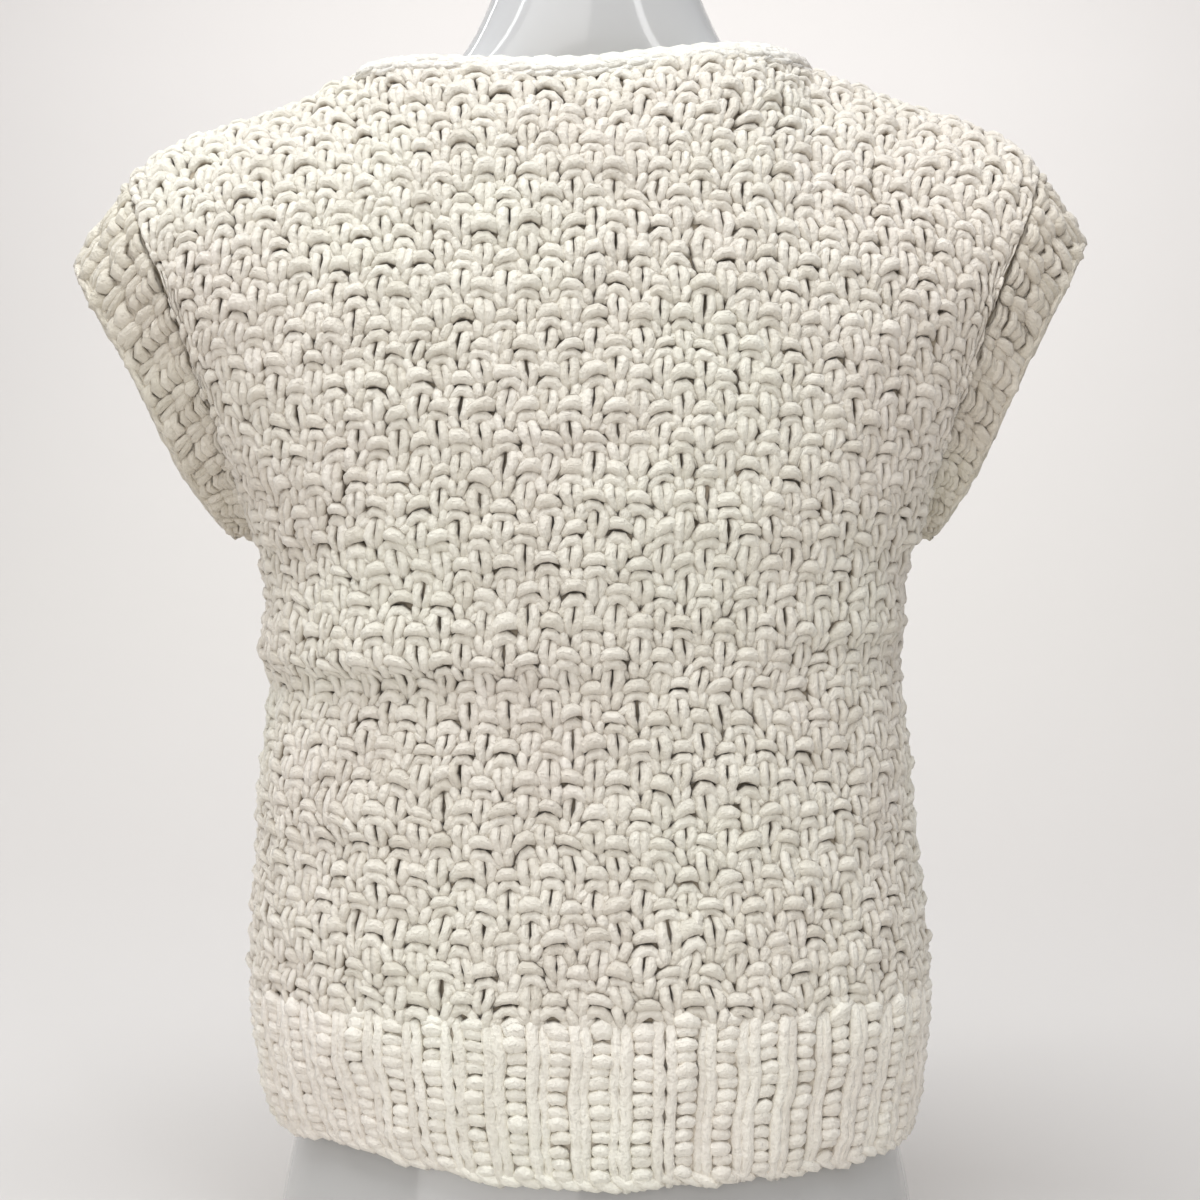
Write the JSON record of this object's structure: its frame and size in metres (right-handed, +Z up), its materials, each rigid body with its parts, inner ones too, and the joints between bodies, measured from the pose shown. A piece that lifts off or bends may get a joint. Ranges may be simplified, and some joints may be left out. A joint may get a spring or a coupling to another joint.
{
  "type": "wrap cardigan on torso dress form",
  "caption": "Sleeveless wrap cardigan in a chunky ivory moss-stitch knit with ribbed hem and armholes, worn on a smooth limbless torso form.",
  "frame": {"origin": "the middle of the form's flat base, where it stands on a surface", "axes": "+Z up; the wearer faces -Y, so the garment's back, the side the picture shows, faces +Y; +X is the wearer's left"},
  "size_m": [0.521, 0.261, 0.748],
  "materials": {
    "moss_knit": "matt chunky double moss stitch in smooth ivory yarn",
    "rib_knit": "matt chunky 1 x 1 rib in the same ivory yarn",
    "rolled_edge": "rolled chain edge in the same ivory yarn",
    "form_shell": "glossy white moulded shell"
  },
  "bodies": {
    "root": {"torso_form": "form_shell", "back": "moss_knit", "front_left": "moss_knit", "front_right": "moss_knit", "hem_rib_back": "rib_knit", "hem_rib_left": "rib_knit", "hem_rib_right": "rib_knit", "armhole_band_left": "rib_knit", "armhole_band_right": "rib_knit", "neck_edge_back": "rolled_edge", "front_edge_left": "rolled_edge", "front_edge_right": "rolled_edge"}
  },
  "joints": []
}
